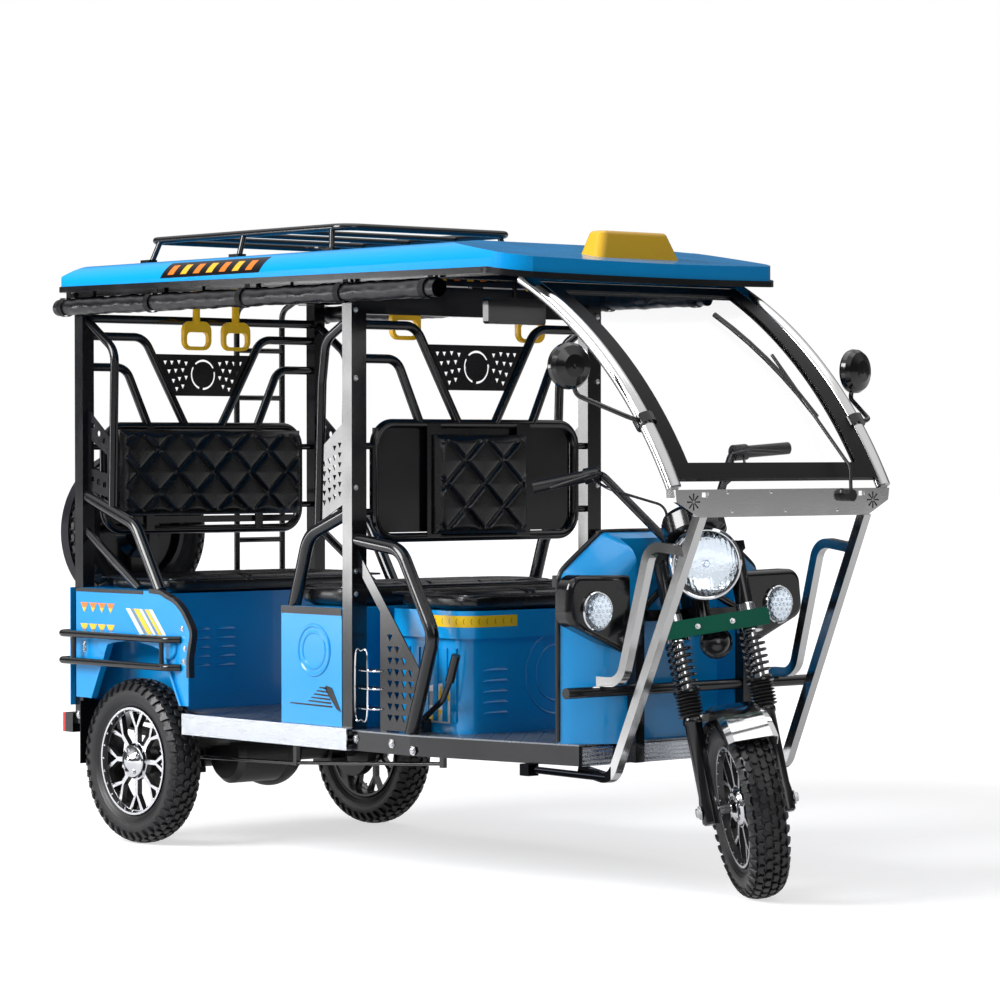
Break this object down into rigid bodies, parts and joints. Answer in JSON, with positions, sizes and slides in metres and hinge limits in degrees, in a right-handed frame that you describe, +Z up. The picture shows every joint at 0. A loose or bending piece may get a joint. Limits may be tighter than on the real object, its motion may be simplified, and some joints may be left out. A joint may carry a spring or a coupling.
{
  "type": "auto rickshaw",
  "caption": "Three-wheeled battery auto rickshaw with an open tube frame, a rigid roof, facing passenger seats and a steered front wheel on a telescopic fork.",
  "frame": {"origin": "on the ground, midway between the front and rear extents and between the sides", "axes": "+X forward, +Y to the vehicle's left, +Z up"},
  "size_m": [2.731, 1.12, 1.735],
  "materials": {
    "black_paint": "gloss black powder coat",
    "floor_sheet": "dark chequered sheet",
    "bright_trim": "bright tread strip",
    "axle_black": "black enamel",
    "blue_paint": "gloss light blue",
    "roof_blue": "gloss light blue moulding",
    "seat_vinyl": "quilted black vinyl",
    "battery_case": "plain case",
    "flap_rubber": "moulded",
    "red_lens": "red lens",
    "black_plastic": "grained",
    "black_gloss": "gloss",
    "clear_lens": "clear moulded lens",
    "stainless": "polished stainless steel",
    "screen_glass": "clear",
    "sign_yellow": "yellow",
    "curtain_vinyl": "rolled black sheet",
    "handle_yellow": "yellow",
    "tyre": "block tread",
    "cover_grey": "dark grey moulding",
    "fork_black": "black with bright stanchions",
    "plate_green": "blank green plate",
    "cable_black": "sheathed",
    "alloy": "machined faces on black"
  },
  "bodies": {
    "body": {"back_frames": "black_paint", "battery_pack": "battery_case", "bench_back_pad": "seat_vinyl", "bench_box": "blue_paint", "bench_cushion": "seat_vinyl", "bench_sides": "blue_paint", "brake_controls": "black_paint", "chassis_frame": "black_paint", "crash_guard": "stainless", "crest_plates": "black_paint", "curtain_rolls": "curtain_vinyl", "dash_panel": "black_plastic", "driver_back_pad": "seat_vinyl", "driver_cushion": "seat_vinyl", "driver_seat_box": "blue_paint", "floor_plate": "floor_sheet", "front_frame": "black_paint", "grab_handles": "handle_yellow", "guard_rails": "black_paint", "ladder": "black_paint", "lamp_pods": "black_gloss", "leg_shield": "blue_paint", "mirrors": "black_plastic", "mud_flaps": "flap_rubber", "partition_panel": "black_plastic", "rear_axle": "axle_black", "rear_back_pad": "seat_vinyl", "rear_cushion": "seat_vinyl", "rear_seat_base": "blue_paint", "roof_carrier": "black_paint", "roof_frame": "black_paint", "roof_shell": "roof_blue", "side_frames": "black_paint", "side_lamps": "clear_lens", "side_panels": "blue_paint", "side_plates": "black_paint", "sign_lamp": "sign_yellow", "sill_trim": "bright_trim", "spare_carrier": "black_paint", "spare_cover": "cover_grey", "spare_tyre": "tyre", "tail_lamps": "red_lens", "windscreen_frame": "stainless", "windscreen_glass": "screen_glass", "windscreen_seal": "flap_rubber", "wiper": "black_plastic"},
    "steering": {"fork": "fork_black", "handlebar": "black_paint", "hand_controls": "black_plastic", "headlamp": "black_gloss", "headlamp_lens": "clear_lens", "front_mudguard": "stainless", "number_plate": "plate_green", "control_cables": "cable_black"},
    "front_wheel": {"front_tyre": "tyre", "front_rim": "alloy"},
    "rear_wheel_right": {"rear_tyre_right": "tyre", "rear_rim_right": "alloy"},
    "rear_wheel_left": {"rear_tyre_left": "tyre", "rear_rim_left": "alloy"}
  },
  "joints": [
    {"name": "steering_turn", "type": "hinge", "parent": "body", "child": "steering", "pos_m": [1.1485, 0, 0], "axis": [-0.2756, 0, 0.9613], "range_deg": [-13, 77]},
    {"name": "front_wheel_spin", "type": "hinge", "parent": "steering", "child": "front_wheel", "pos_m": [1.15668, -0.04504, 0.23299], "axis": [0.5094, 0.848, 0.1461], "continuous": true},
    {"name": "rear_wheel_right_spin", "type": "hinge", "parent": "body", "child": "rear_wheel_right", "pos_m": [-0.9085, -0.421, 0.235], "axis": [0, 1, 0], "continuous": true},
    {"name": "rear_wheel_left_spin", "type": "hinge", "parent": "body", "child": "rear_wheel_left", "pos_m": [-0.9085, 0.421, 0.235], "axis": [0, 1, 0], "continuous": true}
  ]
}
